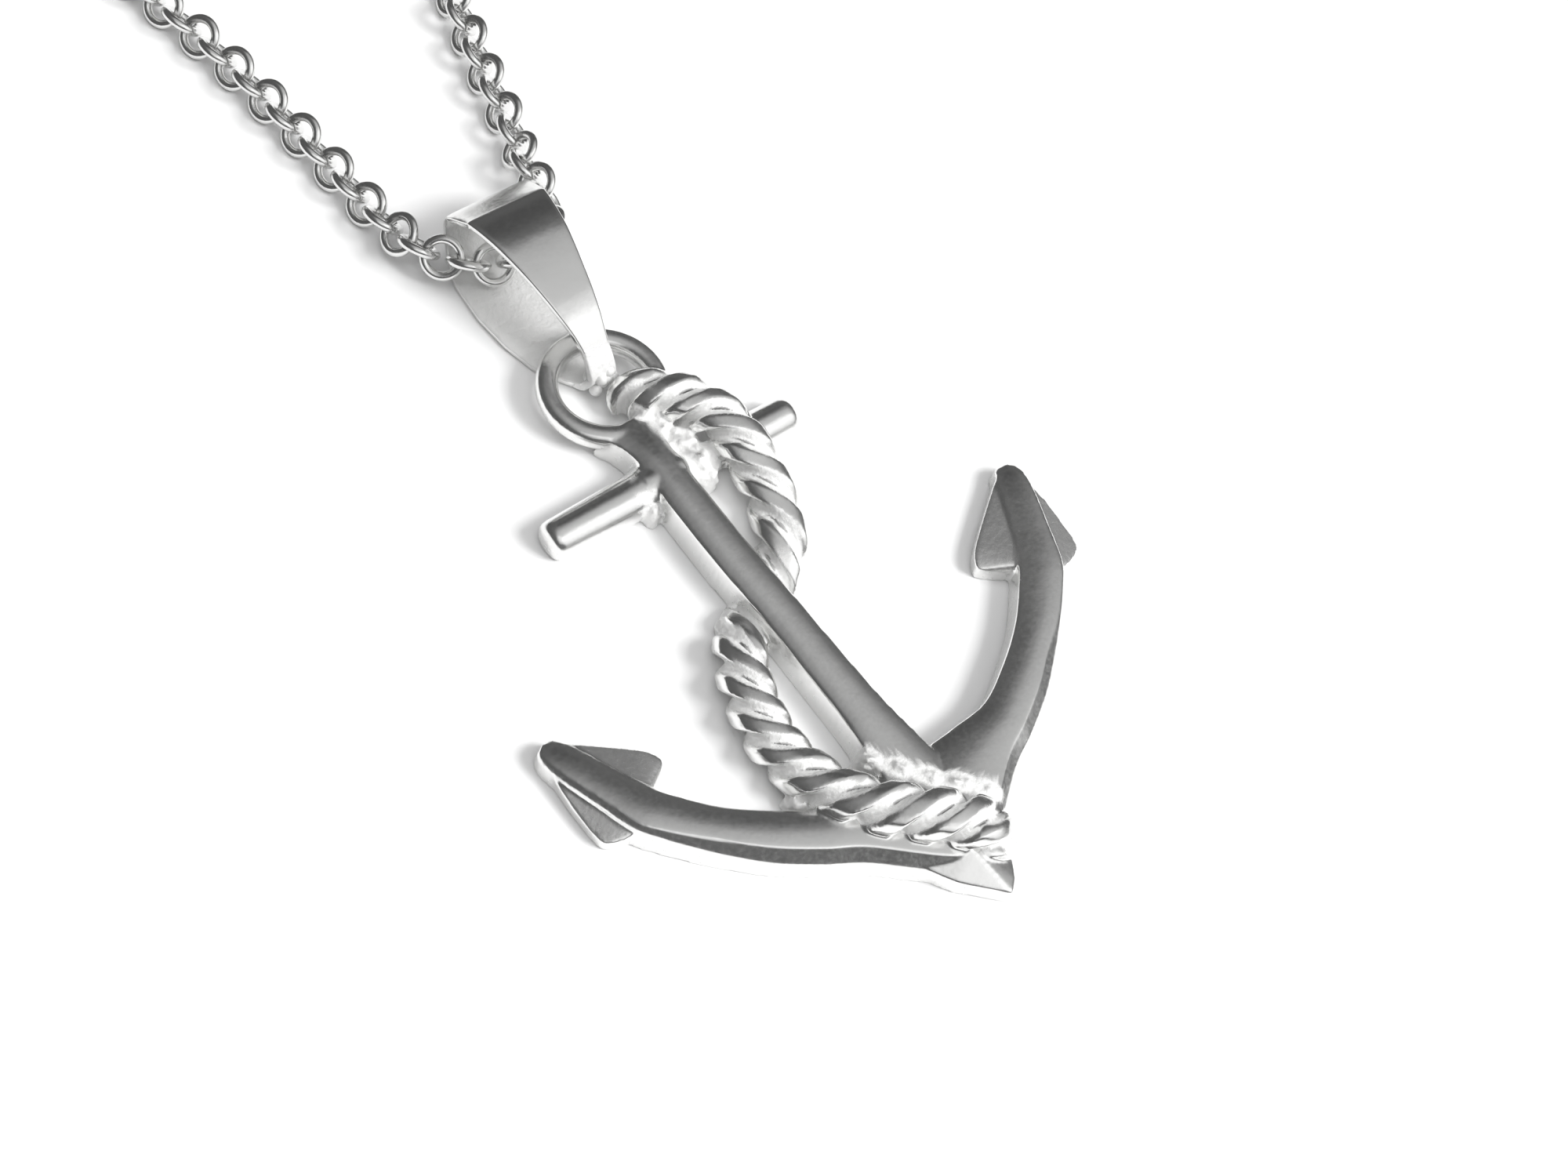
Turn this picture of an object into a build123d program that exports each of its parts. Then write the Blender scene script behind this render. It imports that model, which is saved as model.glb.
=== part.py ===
from build123d import *
import math
import os

# Anchor pendant on a necklace chain, polished sterling silver, in millimetres.
# The anchor lies on its flat back. X runs across the flukes, Y up the shank to the bail and
# on to the chain's clasp, Z up from the surface. The origin is on the flat back, on the
# shank's middle line, where the arms meet the shank.

# Anchor casting, as a whole. The right arm reaches a little further than the left one.
anchor_height = 28.6
tip_span = 23.6
crown_drop = 5.9
wall_draft = 0.12
right_arm_reach = 0.05
left_tip_draw = 0.04
tip_lift_lean = 0.018

# Ring at the top of the shank
ring_outer = 5.4
ring_band = 0.8
ring_depth = 0.95
ring_edge_round = 0.28
ring_aside = -0.12

# Shank
shank_width = 1.64
shank_wall = 1.3
shank_crest = 1.75

# Stock, the cross rod under the ring
stock_length = 12.25
stock_diameter = 1.9
stock_rise = 0.56
stock_below_ring = 4.6
stock_end_round = 0.55

# Arms
arm_width = 2.0
arm_wall = 1.2
arm_ridge = 1.6
arm_top_arch = 0.06
outer_wall_share = 0.78

# Rope that is cast on the anchor
rope_diameter = 2.05
rope_lay = 4.8
rope_strands = 3
rope_groove = 0.4
rope_sides_per_strand = 4
rope_steps_per_lay = 14

# Bail, a folded strap
bail_length = 9.0
bail_height = 4.15
bail_strap = 0.36
bail_fold_width = 3.7
bail_back_width = 4.7
bail_tip_reach = 1.62
bail_play = 0.15
bail_split = 0.31

# Chain and clasp
link_outer = 1.96
link_wire = 0.34
link_play = 0.2
link_tilt = 45.0
link_sides = 12
wire_sides = 6
pass_share = 0.732
pass_play = 0.3
lifted_run = 3.9
landing_run = 3.6
meeting_gap = 0.15
clasp_outer = 6.0
clasp_wire = 1.1
eye_outer = 2.2
eye_wire = 0.5

# Places that follow from the sizes
half_span = tip_span / 2
crown_y = -crown_drop
ring_y = crown_y + anchor_height - ring_outer / 2
ring_inner = ring_outer - 2 * ring_band
ring_lift = bail_strap + bail_play
ring_top = ring_lift + ring_depth
stock_y = ring_y - stock_below_ring
bail_tip_y = ring_y + ring_inner / 2 - bail_tip_reach
pass_y = bail_tip_y + pass_share * bail_length
link_radius = (link_outer - link_wire) / 2
link_half_height = link_radius * abs(math.sin(math.radians(link_tilt))) + link_wire / 2
link_pitch = link_outer - 2 * link_wire - link_play
chain_lift = bail_strap + pass_play

# Arm sections from the middle out to the tip. across is a share of half_span, up a share of
# anchor_height above the crown's tip, turn the arm's direction in degrees, wide a share of
# arm_width, bevel a share of the section's own width, high a share of the arm's heights.
ARM_COLUMNS = ("across", "up", "turn", "wide", "bevel", "high")
ARM_SECTIONS = (
    (-0.050, 0.128, 0.0, 2.42, 0.34, 1.00),
    (0.060, 0.135, 6.0, 2.31, 0.34, 1.00),
    (0.261, 0.173, 17.6, 1.43, 0.27, 1.00),
    (0.394, 0.193, 27.0, 1.10, 0.22, 1.00),
    (0.532, 0.228, 37.0, 1.02, 0.19, 1.00),
    (0.674, 0.276, 45.0, 0.91, 0.12, 0.98),
    (0.784, 0.323, 54.0, 0.92, 0.09, 0.95),
    (0.840, 0.353, 61.0, 0.93, 0.09, 0.92),
    (0.898, 0.404, 66.0, 0.78, 0.12, 0.86),
    (0.970, 0.469, 66.0, 0.50, 0.25, 0.62),
)

# Shank sections from the crown up to the ring. up is a share of anchor_height, aside and wide
# shares of shank_width, high a share of the shank's heights. The shank leans a little to the
# left and narrows towards the ring.
SHANK_COLUMNS = ("up", "aside", "wide", "high")
SHANK_SECTIONS = (
    (0.088, 0.04, 1.66, 0.94),
    (0.199, 0.02, 1.50, 0.97),
    (0.300, -0.03, 1.16, 1.00),
    (0.385, -0.08, 1.07, 1.00),
    (0.486, -0.13, 1.00, 1.00),
    (0.591, -0.23, 0.98, 1.00),
    (0.696, -0.26, 0.93, 1.00),
    (0.780, -0.24, 0.87, 0.98),
    (0.844, -0.21, 0.85, 0.92),
)

# Stock outline from the middle to its end. along is a share of the half length, thick a
# share of stock_diameter. The first rows are the collar against the shank's wall.
STOCK_COLUMNS = ("along", "thick")
STOCK_OUTLINE = (
    (0.00, 1.10),
    (0.20, 1.10),
    (0.29, 0.99),
    (0.60, 0.95),
    (0.91, 0.90),
)

# Fluke corners, seen from above. across and up as for the arms, high a share of arm_ridge.
FLUKE_COLUMNS = ("corner", "across", "up", "high")
FLUKE_CORNERS = (
    ("tip", 0.996, 0.505, 0.56),
    ("inner_shoulder", 0.945, 0.499, 0.52),
    ("inner_side", 0.780, 0.450, 0.51),
    ("inner_corner", 0.690, 0.421, 0.50),
    ("inner_barb", 0.655, 0.397, 0.48),
    ("inner_neck", 0.750, 0.367, 0.68),
    ("outer_neck", 0.907, 0.328, 0.58),
    ("outer_barb", 1.025, 0.344, 0.38),
    ("outer_side", 1.036, 0.414, 0.42),
    ("outer_shoulder", 1.025, 0.482, 0.50),
)

# Pointed crown under the arms, its right half. across and up as for the arms, high a share
# of arm_ridge. The tip itself leans a little to the right.
CROWN_COLUMNS = ("corner", "across", "up", "high")
CROWN_CORNERS = (
    ("ridge_top", 0.000, 0.154, 1.06),
    ("ridge_tip", 0.047, 0.000, 0.52),
    ("side", 0.100, 0.041, 0.46),
    ("neck", 0.196, 0.102, 0.62),
)

# The rope's middle line. across is a share of half_span, up a share of anchor_height above
# the crown's tip, lift a share of rope_diameter above the flat back.
ROPE_COLUMNS = ("across", "up", "lift")
ROPE_ROUTE = (
    (0.051, 0.883, 0.17),
    (0.081, 0.869, 0.55),
    (0.148, 0.841, 0.74),
    (0.220, 0.801, 0.76),
    (0.254, 0.749, 0.74),
    (0.252, 0.692, 0.57),
    (0.231, 0.642, 0.44),
    (0.174, 0.585, 0.29),
    (0.085, 0.551, 0.04),
    (-0.010, 0.529, -0.06),
    (-0.110, 0.508, 0.06),
    (-0.200, 0.479, 0.36),
    (-0.265, 0.430, 0.46),
    (-0.304, 0.374, 0.48),
    (-0.312, 0.317, 0.50),
    (-0.278, 0.256, 0.62),
    (-0.203, 0.197, 0.82),
    (-0.102, 0.153, 0.98),
    (-0.013, 0.120, 0.99),
    (0.055, 0.097, 0.88),
    (0.093, 0.082, 0.52),
    (0.102, 0.077, 0.12),
)

# The bail from the side, along the outside of the strap. back is a share of bail_length from
# the soldered tip, rise a share of bail_height. Each row after the start ends an arc that
# passes through the row's middle point, or a straight run where both lie on the surface.
BAIL_START = (0.000, 0.290)
BAIL_COLUMNS = ("mid_back", "mid_rise", "end_back", "end_rise")
BAIL_OUTLINE = (
    (0.088, 0.590, 0.240, 0.795),
    (0.530, 0.985, 0.824, 0.990),
    (0.962, 0.770, 1.000, 0.480),
    (0.942, 0.128, 0.800, 0.000),
    (0.450, 0.000, 0.160, 0.000),
    (0.050, 0.080, 0.000, 0.290),
)

# The strap's half width from above, front plate and back plate. back is a share of
# bail_length, wide a share of the named width of that plate.
PLATE_COLUMNS = ("back", "wide")
FRONT_PLATE = (
    (-0.10, 0.21),
    (0.09, 0.32),
    (0.19, 0.43),
    (0.30, 0.54),
    (0.42, 0.65),
    (0.60, 0.82),
    (0.83, 1.00),
    (1.10, 1.16),
)
BACK_PLATE = (
    (-0.10, 0.20),
    (0.09, 0.34),
    (0.25, 0.74),
    (0.42, 0.92),
    (0.60, 1.00),
    (0.81, 0.96),
    (0.91, 0.865),
    (1.10, 0.66),
)

# The strap's half width from the end, at the fold. rise is a share of bail_height, wide a
# share of bail_back_width. Below the first row only the back plate's outline counts.
FOLD_COLUMNS = ("rise", "wide")
FOLD_SIDES = (
    (0.31, 0.77),
    (0.72, 0.92),
    (0.84, 1.06),
    (1.20, 1.06),
)

# The chain's route around the neck, seen from above, from the clasp down the left run,
# through the bail and up the right run back to the clasp. y is measured from the middle of
# the links inside the bail. Near the bail it follows the photograph, then the plain way round.
CHAIN_ROUTE = (
    (-18.0, 176.0),
    (-38.0, 166.0),
    (-52.0, 143.0),
    (-55.0, 114.0),
    (-44.0, 86.0),
    (-28.0, 60.0),
    (-14.5, 41.0),
    (-7.4, 27.0),
    (-4.5, 14.9),
    (-3.6, 7.6),
    (-3.15, 1.98),
    (-0.93, 0.0),
    (1.2, 0.0),
    (2.9, 1.3),
    (3.1, 3.4),
    (3.95, 5.4),
    (5.0, 10.0),
    (7.2, 17.4),
    (11.8, 30.0),
    (23.0, 50.0),
    (39.0, 76.0),
    (53.0, 102.0),
    (56.0, 131.0),
    (47.0, 156.0),
    (32.0, 170.0),
    (17.0, 176.0),
)
arc_share = 0.45
left_meeting_run = 6
left_meeting_share = 0.51
right_meeting_run = 18
right_meeting_share = 0.5


def table(columns, rows):
    """The rows of a table as dictionaries with the columns' names."""
    return [dict(zip(columns, row)) for row in rows]


def place(row, side):
    """Plan position of a row with across and up, on the right (1) or left (-1) side."""
    outward = row["across"] ** 2
    reach = right_arm_reach if side > 0 else -left_tip_draw * outward
    x = row["across"] * half_span * (1 + reach)
    y = crown_y + row["up"] * anchor_height * (1 + side * outward * tip_lift_lean)
    return side * x, y


def solid_of(corner_sets):
    """Closed solid from flat faces, each given as a ring of corners."""
    faces = [Face(Wire.make_polygon(corners, close=True)) for corners in corner_sets]
    return Solid(Shell(faces))


def make_shank():
    """Flat-backed bar with drafted walls and an arched top, lofted through its sections."""
    wires = []
    for row in table(SHANK_COLUMNS, SHANK_SECTIONS):
        half = row["wide"] * shank_width / 2
        left = row["aside"] * shank_width - half
        right = left + 2 * half
        wall = row["high"] * shank_wall
        crest = row["high"] * shank_crest
        y = crown_y + row["up"] * anchor_height
        with BuildSketch(Plane((0, y, 0), x_dir=(1, 0, 0), z_dir=(0, -1, 0))) as section:
            with BuildLine():
                Polyline((left, wall), (left - wall_draft, 0), (right + wall_draft, 0), (right, wall))
                ThreePointArc((right, wall), ((left + right) / 2, crest), (left, wall))
            make_face()
        wires.append(section.sketch.face().outer_wire())
    return Solid.make_loft(wires)


def make_arm(side):
    """One arm: a flat-backed bar with a bevel on its outer side, from the crown to the fluke."""
    wires = []
    for row in table(ARM_COLUMNS, ARM_SECTIONS):
        x, y = place(row, side)
        angle = math.radians(row["turn"])
        width = row["wide"] * arm_width
        ridge_high = row["high"] * arm_ridge
        inner_high = row["high"] * arm_wall
        outer_high = outer_wall_share * inner_high
        outer = -width / 2
        inner = width / 2
        ridge = outer + row["bevel"] * width
        crown_middle = (ridge + inner) / 2
        crown_high = (ridge_high + inner_high) / 2 + arm_top_arch * width
        plane = Plane(
            (x, y, 0),
            x_dir=(-side * math.sin(angle), math.cos(angle), 0),
            z_dir=(side * math.cos(angle), math.sin(angle), 0),
        )
        upward = side
        with BuildSketch(plane) as section:
            with BuildLine():
                Polyline(
                    (ridge, upward * ridge_high),
                    (outer, upward * outer_high),
                    (outer - wall_draft, 0),
                    (inner + wall_draft, 0),
                    (inner, upward * inner_high),
                )
                ThreePointArc(
                    (inner, upward * inner_high),
                    (crown_middle, upward * crown_high),
                    (ridge, upward * ridge_high),
                )
            make_face()
        wires.append(section.sketch.face().outer_wire())
    return Solid.make_loft(wires)


def make_fluke(side):
    """One fluke: an arrowhead whose two barbs slope down from the arm."""
    low = {}
    top = {}
    names = []
    for row in table(FLUKE_COLUMNS, FLUKE_CORNERS):
        x, y = place(row, side)
        names.append(row["corner"])
        low[row["corner"]] = Vector(x, y, 0)
        top[row["corner"]] = Vector(x, y, row["high"] * arm_ridge)
    faces = [[low[name] for name in names]]
    for first, second in zip(names, names[1:] + names[:1]):
        faces.append([low[first], low[second], top[second], top[first]])
    for first, second in zip(names[1:], names[2:]):
        faces.append([top["tip"], top[first], top[second]])
    return solid_of(faces)


def make_crown():
    """Pointed crown: a low ridge that runs down to the tip, with two faces on each side."""
    low = {}
    top = {}
    for row in table(CROWN_COLUMNS, CROWN_CORNERS):
        for side in (1, -1):
            x = side * row["across"] * half_span
            y = crown_y + row["up"] * anchor_height
            low[row["corner"], side] = Vector(x, y, 0)
            top[row["corner"], side] = Vector(x, y, row["high"] * arm_ridge)
    ring = [("ridge_top", 1), ("neck", 1), ("side", 1), ("ridge_tip", 1), ("side", -1), ("neck", -1)]
    faces = [[low[key] for key in ring]]
    for first, second in zip(ring, ring[1:] + ring[:1]):
        faces.append([low[first], low[second], top[second], top[first]])
    peak = top["ridge_top", 1]
    tip = top["ridge_tip", 1]
    for side in (1, -1):
        faces.append([peak, top["neck", side], top["side", side]])
        faces.append([peak, top["side", side], tip])
    return solid_of(faces)


def make_ring():
    """Flat ring with rounded edges, lifted so that the bail's back plate passes under it."""
    middle = (ring_outer - ring_band) / 2
    with BuildSketch(Plane.XZ) as section:
        with Locations((middle, ring_lift + ring_depth / 2)):
            RectangleRounded(ring_band, ring_depth, ring_edge_round)
    ring = revolve(section.sketch, axis=Axis.Z, revolution_arc=360)
    return Location((ring_aside, ring_y, 0)) * ring


def make_stock():
    """Round rod across the shank, thinner towards its softly rounded ends."""
    half = stock_length / 2
    outline = []
    for row in table(STOCK_COLUMNS, STOCK_OUTLINE):
        outline.append((row["along"] * half, row["thick"] * stock_diameter / 2))
    end_radius = outline[-1][1]
    corner = stock_end_round * end_radius
    with BuildSketch(Plane.XY) as section:
        with BuildLine():
            Polyline((0, 0), *outline)
            Line(outline[-1], (half - corner, end_radius))
            RadiusArc((half - corner, end_radius), (half, end_radius - corner), corner)
            Line((half, end_radius - corner), (half, 0))
            Line((half, 0), (0, 0))
        make_face()
    right = revolve(section.sketch, axis=Axis.X, revolution_arc=360)
    rod = right + mirror(right, about=Plane.YZ)
    return Location((0, stock_y, stock_rise)) * rod


def make_rope():
    """Twisted rope as a faceted solid: a section of round lobes turned along the route.

    Each lobe is the arc of a circle set off the rope's middle, so that the valleys between
    the lobes are rope_groove deep. The section turns once for each rope_lay, left-handed."""
    points = []
    for row in table(ROPE_COLUMNS, ROPE_ROUTE):
        x = row["across"] * half_span
        y = crown_y + row["up"] * anchor_height
        points.append((x, y, row["lift"] * rope_diameter))
    line = Spline(*points)
    sides = rope_sides_per_strand * rope_strands
    radius = rope_diameter / 2
    half_lobe = math.pi / rope_strands
    valley = radius - rope_groove
    offset = (radius**2 - valley**2) / (2 * (radius - valley * math.cos(half_lobe)))
    strand = radius - offset
    steps = round(line.length / rope_lay * rope_steps_per_lay)
    normal = Vector(0, 0, 1)
    rings = []
    for step in range(steps + 1):
        share = step / steps
        point = line.position_at(share)
        tangent = line.tangent_at(share)
        normal = (normal - tangent * normal.dot(tangent)).normalized()
        binormal = tangent.cross(normal)
        twist = -2 * math.pi * share * line.length / rope_lay
        ring = []
        for side in range(sides):
            angle = 2 * math.pi * side / sides
            lobe = (angle + half_lobe) % (2 * half_lobe) - half_lobe
            reach = offset * math.cos(lobe) + math.sqrt(strand**2 - (offset * math.sin(lobe)) ** 2)
            turned = angle + twist
            across = normal * (reach * math.cos(turned)) + binormal * (reach * math.sin(turned))
            ring.append(point + across)
        rings.append(ring)
    faces = [rings[0], rings[-1]]
    for first, second in zip(rings, rings[1:]):
        for side in range(sides):
            after = (side + 1) % sides
            faces.append([first[side], first[after], second[side]])
            faces.append([first[after], second[after], second[side]])
    return solid_of(faces)


def make_anchor():
    """The whole casting in one piece, trimmed flat at its back."""
    body = make_shank() + make_ring() + make_arm(1) + make_arm(-1)
    body = body + make_fluke(1) + make_fluke(-1) + make_crown() + make_stock()
    eye = Location((ring_aside, ring_y, 0)) * Cylinder(ring_inner / 2, 4 * ring_top)
    body = body - eye
    body = body + make_rope()
    corner = (Align.CENTER, Align.CENTER, Align.MIN)
    room = Box(2 * tip_span, 2 * anchor_height, 4 * rope_diameter, align=corner)
    return body & (Location((0, ring_y / 2, 0)) * room)


def plate_outline(rows, width):
    """Outline of one plate of the bail, seen from above, as a face on the surface."""
    right = []
    for row in table(PLATE_COLUMNS, rows):
        right.append((row["wide"] * width / 2, bail_tip_y + row["back"] * bail_length))
    left = [(-x, y) for x, y in reversed(right)]
    with BuildSketch() as outline:
        with BuildLine():
            Spline(*right)
            Line(right[-1], left[0])
            Spline(*left)
            Line(left[-1], right[0])
        make_face()
    return outline.sketch


def make_bail():
    """Strap folded to a loop through the ring, its ends soldered inside the ring's eye."""
    start = (bail_tip_y + BAIL_START[0] * bail_length, BAIL_START[1] * bail_height)
    with BuildSketch(Plane.YZ) as side:
        with BuildLine():
            for row in table(BAIL_COLUMNS, BAIL_OUTLINE):
                middle = (bail_tip_y + row["mid_back"] * bail_length, row["mid_rise"] * bail_height)
                end = (bail_tip_y + row["end_back"] * bail_length, row["end_rise"] * bail_height)
                if row["mid_rise"] == 0:
                    Line(start, end)
                else:
                    ThreePointArc(start, middle, end)
                start = end
        make_face()
        offset(amount=-bail_strap, kind=Kind.INTERSECTION, mode=Mode.SUBTRACT)
    strap = extrude(side.sketch, amount=bail_back_width, both=True)
    split = bail_split * bail_height
    front = extrude(plate_outline(FRONT_PLATE, bail_fold_width), amount=2 * bail_height)
    back = extrude(plate_outline(BACK_PLATE, bail_back_width), amount=split)
    plates = Location((0, 0, split)) * front + back
    fold = [(bail_back_width, -split), (bail_back_width, split)]
    for row in table(FOLD_COLUMNS, FOLD_SIDES):
        fold.append((row["wide"] * bail_back_width / 2, row["rise"] * bail_height))
    fold = fold + [(-x, z) for x, z in reversed(fold)]
    with BuildSketch(Plane.XZ) as sides:
        Polygon(*fold, align=None)
    strip = extrude(sides.sketch, amount=bail_tip_y + 2 * bail_length, both=True)
    return strap & plates & strip


def filleted(points):
    """The points joined by straight runs and tangent arcs; prints the arcs' radii."""
    radii = []
    for before, corner, after in zip(points, points[1:], points[2:]):
        turn = math.radians((corner - before).get_angle(after - corner))
        shorter = min((corner - before).length, (after - corner).length)
        radii.append(arc_share * shorter / math.tan(turn / 2))
    with BuildLine() as line:
        FilletPolyline(*points, radius=radii)
    print("arc radii:", [round(radius, 2) for radius in radii])
    return line.wire()


route = [Vector(x, pass_y + y, link_half_height) for x, y in CHAIN_ROUTE]
left_step = route[left_meeting_run + 1] - route[left_meeting_run]
left_meeting = route[left_meeting_run] + left_step * left_meeting_share
right_step = route[right_meeting_run] - route[right_meeting_run - 1]
right_meeting = route[right_meeting_run - 1] + right_step * right_meeting_share
clasp_middle = (route[0] + route[-1]) / 2
eye_middle = clasp_outer / 2 + eye_outer / 2 - eye_wire
clasp_reach = eye_middle + eye_outer / 2


def make_link():
    """One round link, faceted, in the XY plane around the origin."""
    rings = []
    for side in range(link_sides):
        angle = 2 * math.pi * side / link_sides
        ring = []
        for corner in range(wire_sides):
            around = 2 * math.pi * (corner + 0.5) / wire_sides
            reach = link_radius + link_wire / 2 * math.cos(around)
            height = link_wire / 2 * math.sin(around)
            ring.append(Vector(reach * math.cos(angle), reach * math.sin(angle), height))
        rings.append(ring)
    faces = []
    for first, second in zip(rings, rings[1:] + rings[:1]):
        for corner in range(wire_sides):
            after = (corner + 1) % wire_sides
            faces.append([first[corner], second[corner], second[after], first[after]])
    return solid_of(faces)


def make_front_chain():
    """Round links, each tilted the other way than the one before, that run through the bail.

    They lie on the surface, and rise smoothly to clear the bail's back plate."""
    corners = route[left_meeting_run + 1 : right_meeting_run]
    line = filleted([left_meeting] + corners + [right_meeting])
    count = math.ceil(line.length / link_pitch)
    pitch = line.length / count
    shares = [(number + 0.5) / count for number in range(count)]
    inside = [share for share in shares if line.position_at(share).Y < pass_y + link_wire]
    middle = (inside[0] + inside[-1]) / 2 * line.length
    first_inside = shares.index(inside[0])
    link = make_link()
    links = []
    for number, share in enumerate(shares):
        distance = share * line.length
        away = abs(distance - middle)
        down = min(max((away - lifted_run) / landing_run, 0), 1)
        rise = chain_lift * (1 + math.cos(math.pi * down)) / 2
        slope = chain_lift * math.pi / (2 * landing_run) * math.sin(math.pi * down)
        if distance > middle:
            slope = -slope
        centre = line.position_at(share) + Vector(0, 0, rise)
        along = (line.tangent_at(share) + Vector(0, 0, slope)).normalized()
        aside = Vector(-along.Y, along.X, 0).normalized()
        above = along.cross(aside)
        tilt = math.radians(link_tilt if (number - first_inside) % 2 else -link_tilt)
        axis = above * math.cos(tilt) + aside * math.sin(tilt)
        frame = Plane(centre, x_dir=along, z_dir=axis)
        links.append(frame.location * link)
    print("front chain:", count, "links, pitch", round(pitch, 3), "length", round(line.length, 1))
    return Compound(children=links), pitch


def make_back_chain(pitch):
    """The rest of the chain as a tube as high as the links, in two runs up to the clasp."""
    clear = (link_outer - pitch) / 2 + meeting_gap
    runs = []
    for side, meeting, corners in (
        (-1, left_meeting, route[: left_meeting_run + 1]),
        (1, right_meeting, route[: right_meeting_run - 1 : -1]),
    ):
        first = clasp_middle + Vector(side * (clasp_reach + meeting_gap), 0, 0)
        last = meeting + (corners[-1] - meeting).normalized() * clear
        line = filleted([first] + corners + [last])
        section = Plane(line.position_at(0), z_dir=line.tangent_at(0)) * Circle(link_half_height)
        tube = sweep(section, path=line)
        runs.append(tube.solid())
        expected = line.length * math.pi * link_half_height**2
        print("back chain: length", round(line.length, 1), "volume", tube.volume, "expected", expected)
    return Compound(children=runs)


def make_clasp():
    """Plain ring that lies flat, with a small eye on each side for the chain's ends."""
    middle = clasp_wire / 2
    body = Torus((clasp_outer - clasp_wire) / 2, middle)
    for side in (-1, 1):
        spot = Location((side * eye_middle, 0, 0))
        hole = spot * Cylinder(eye_outer / 2 - eye_wire, 2 * clasp_wire)
        eye = spot * Cylinder(eye_outer / 2, eye_wire)
        body = body + (eye - hole)
    return Location((clasp_middle.X, clasp_middle.Y, middle)) * body


os.makedirs("parts", exist_ok=True)
front_chain, front_pitch = make_front_chain()
pieces = {
    "anchor": make_anchor(),
    "bail": make_bail(),
    "chain_front": front_chain,
    "chain_back": make_back_chain(front_pitch),
    "clasp": make_clasp(),
}
for name, shape in pieces.items():
    export_step(shape, f"parts/{name}.step")
    print(name, "volume", round(shape.volume, 2), "valid", shape.is_valid, "solids", len(shape.solids()))
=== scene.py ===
import bpy
import math
import numpy as np
from mathutils import Matrix, Vector


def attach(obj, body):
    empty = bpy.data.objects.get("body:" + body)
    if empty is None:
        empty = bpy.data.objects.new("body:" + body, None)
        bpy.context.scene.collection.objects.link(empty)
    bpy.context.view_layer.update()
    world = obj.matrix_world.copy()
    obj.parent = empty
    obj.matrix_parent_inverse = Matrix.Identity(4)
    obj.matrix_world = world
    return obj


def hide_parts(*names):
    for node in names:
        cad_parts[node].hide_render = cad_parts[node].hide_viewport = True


# Anchor pendant on a round-link chain, polished sterling silver, lying on a white table.
# Lengths are in millimetres up to the moment a mesh is made. X runs across the flukes, Y up the
# shank to the bail, Z up from the table.

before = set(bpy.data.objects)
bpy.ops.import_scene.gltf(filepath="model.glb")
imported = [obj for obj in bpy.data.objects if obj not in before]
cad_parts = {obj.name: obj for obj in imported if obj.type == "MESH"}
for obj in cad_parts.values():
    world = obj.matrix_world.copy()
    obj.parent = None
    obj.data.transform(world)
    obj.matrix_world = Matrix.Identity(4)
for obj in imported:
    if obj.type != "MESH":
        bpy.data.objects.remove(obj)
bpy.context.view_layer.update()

METRES = 0.001


# Camera

CAMERA_TURN = 56.39  # degrees, as the next two
CAMERA_RISE = 58.82
CAMERA_ROLL = 22.32
CAMERA_DISTANCE = 108.9
CAMERA_TARGET = (1.20, 9.19, 0)
CAMERA_LENS = 63
CAMERA_SENSOR = 36
CAMERA_NEAR = 1  # nearest that it sees


def photo_camera():
    """A camera at its distance from its target, turned and raised by angles in degrees, and rolled
    about its own axis as the photo was."""
    turn, rise, roll = map(math.radians, (CAMERA_TURN, CAMERA_RISE, CAMERA_ROLL))
    back = Vector((-math.sin(turn) * math.cos(rise), -math.cos(turn) * math.cos(rise), math.sin(rise)))
    level = (-back).cross(Vector((0, 0, 1))).normalized()
    upright = level.cross(-back)
    right = math.cos(roll) * level + math.sin(roll) * upright
    up = -math.sin(roll) * level + math.cos(roll) * upright
    lens = bpy.data.cameras.new("photo_lens")
    lens.sensor_width = CAMERA_SENSOR
    lens.lens = CAMERA_LENS
    lens.clip_start = CAMERA_NEAR * METRES
    camera = bpy.data.objects.new("photo_camera", lens)
    bpy.context.scene.collection.objects.link(camera)
    place = (Vector(CAMERA_TARGET) + back * CAMERA_DISTANCE) * METRES
    camera.matrix_world = Matrix.Translation(place) @ Matrix((right, up, back)).transposed().to_4x4()
    bpy.context.scene.camera = camera


photo_camera()


# Shapes as arrays

def smooth_rows(rows, steps):
    """Rows of numbers turned into more rows: a Catmull-Rom curve through each column."""
    rows = np.array(rows, float)
    place = np.linspace(0, len(rows) - 1, steps)
    number = np.clip(place.astype(int), 0, len(rows) - 2)
    share = (place - number)[:, None]
    before, start = rows[np.maximum(number - 1, 0)], rows[number]
    end, after = rows[number + 1], rows[np.minimum(number + 2, len(rows) - 1)]
    square = 2 * before - 5 * start + 4 * end - after
    cube = 3 * (start - end) + after - before
    return start + 0.5 * share * (end - before + share * (square + share * cube))


def smooth_step(value, low, high):
    """0 below low, 1 above high, and a soft S between them."""
    share = np.clip((value - low) / (high - low), 0, 1)
    return share * share * (3 - 2 * share)


def circle(count):
    """Evenly spaced angles of a full turn."""
    return np.linspace(0, 2 * np.pi, count, endpoint=False)


def squared(wave, power):
    """A sine or cosine with its size raised to a power below 1, which squares a round section."""
    return np.sign(wave) * np.abs(wave) ** power


def turned(along, across, direction):
    """East and north of an offset that is given along and across a direction in degrees."""
    cosine, sine = math.cos(math.radians(direction)), math.sin(math.radians(direction))
    return cosine * along - sine * across, sine * along + cosine * across


def length_along(line):
    """The distance along a line from its first point to each of its points."""
    return np.concatenate([[0], np.cumsum(np.linalg.norm(np.diff(line, axis=0), axis=1))])


def points_at(line, places):
    """Points on a line at distances along it."""
    length = length_along(line)
    return np.stack([np.interp(places, length, line[:, axis]) for axis in range(3)], -1)


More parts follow.
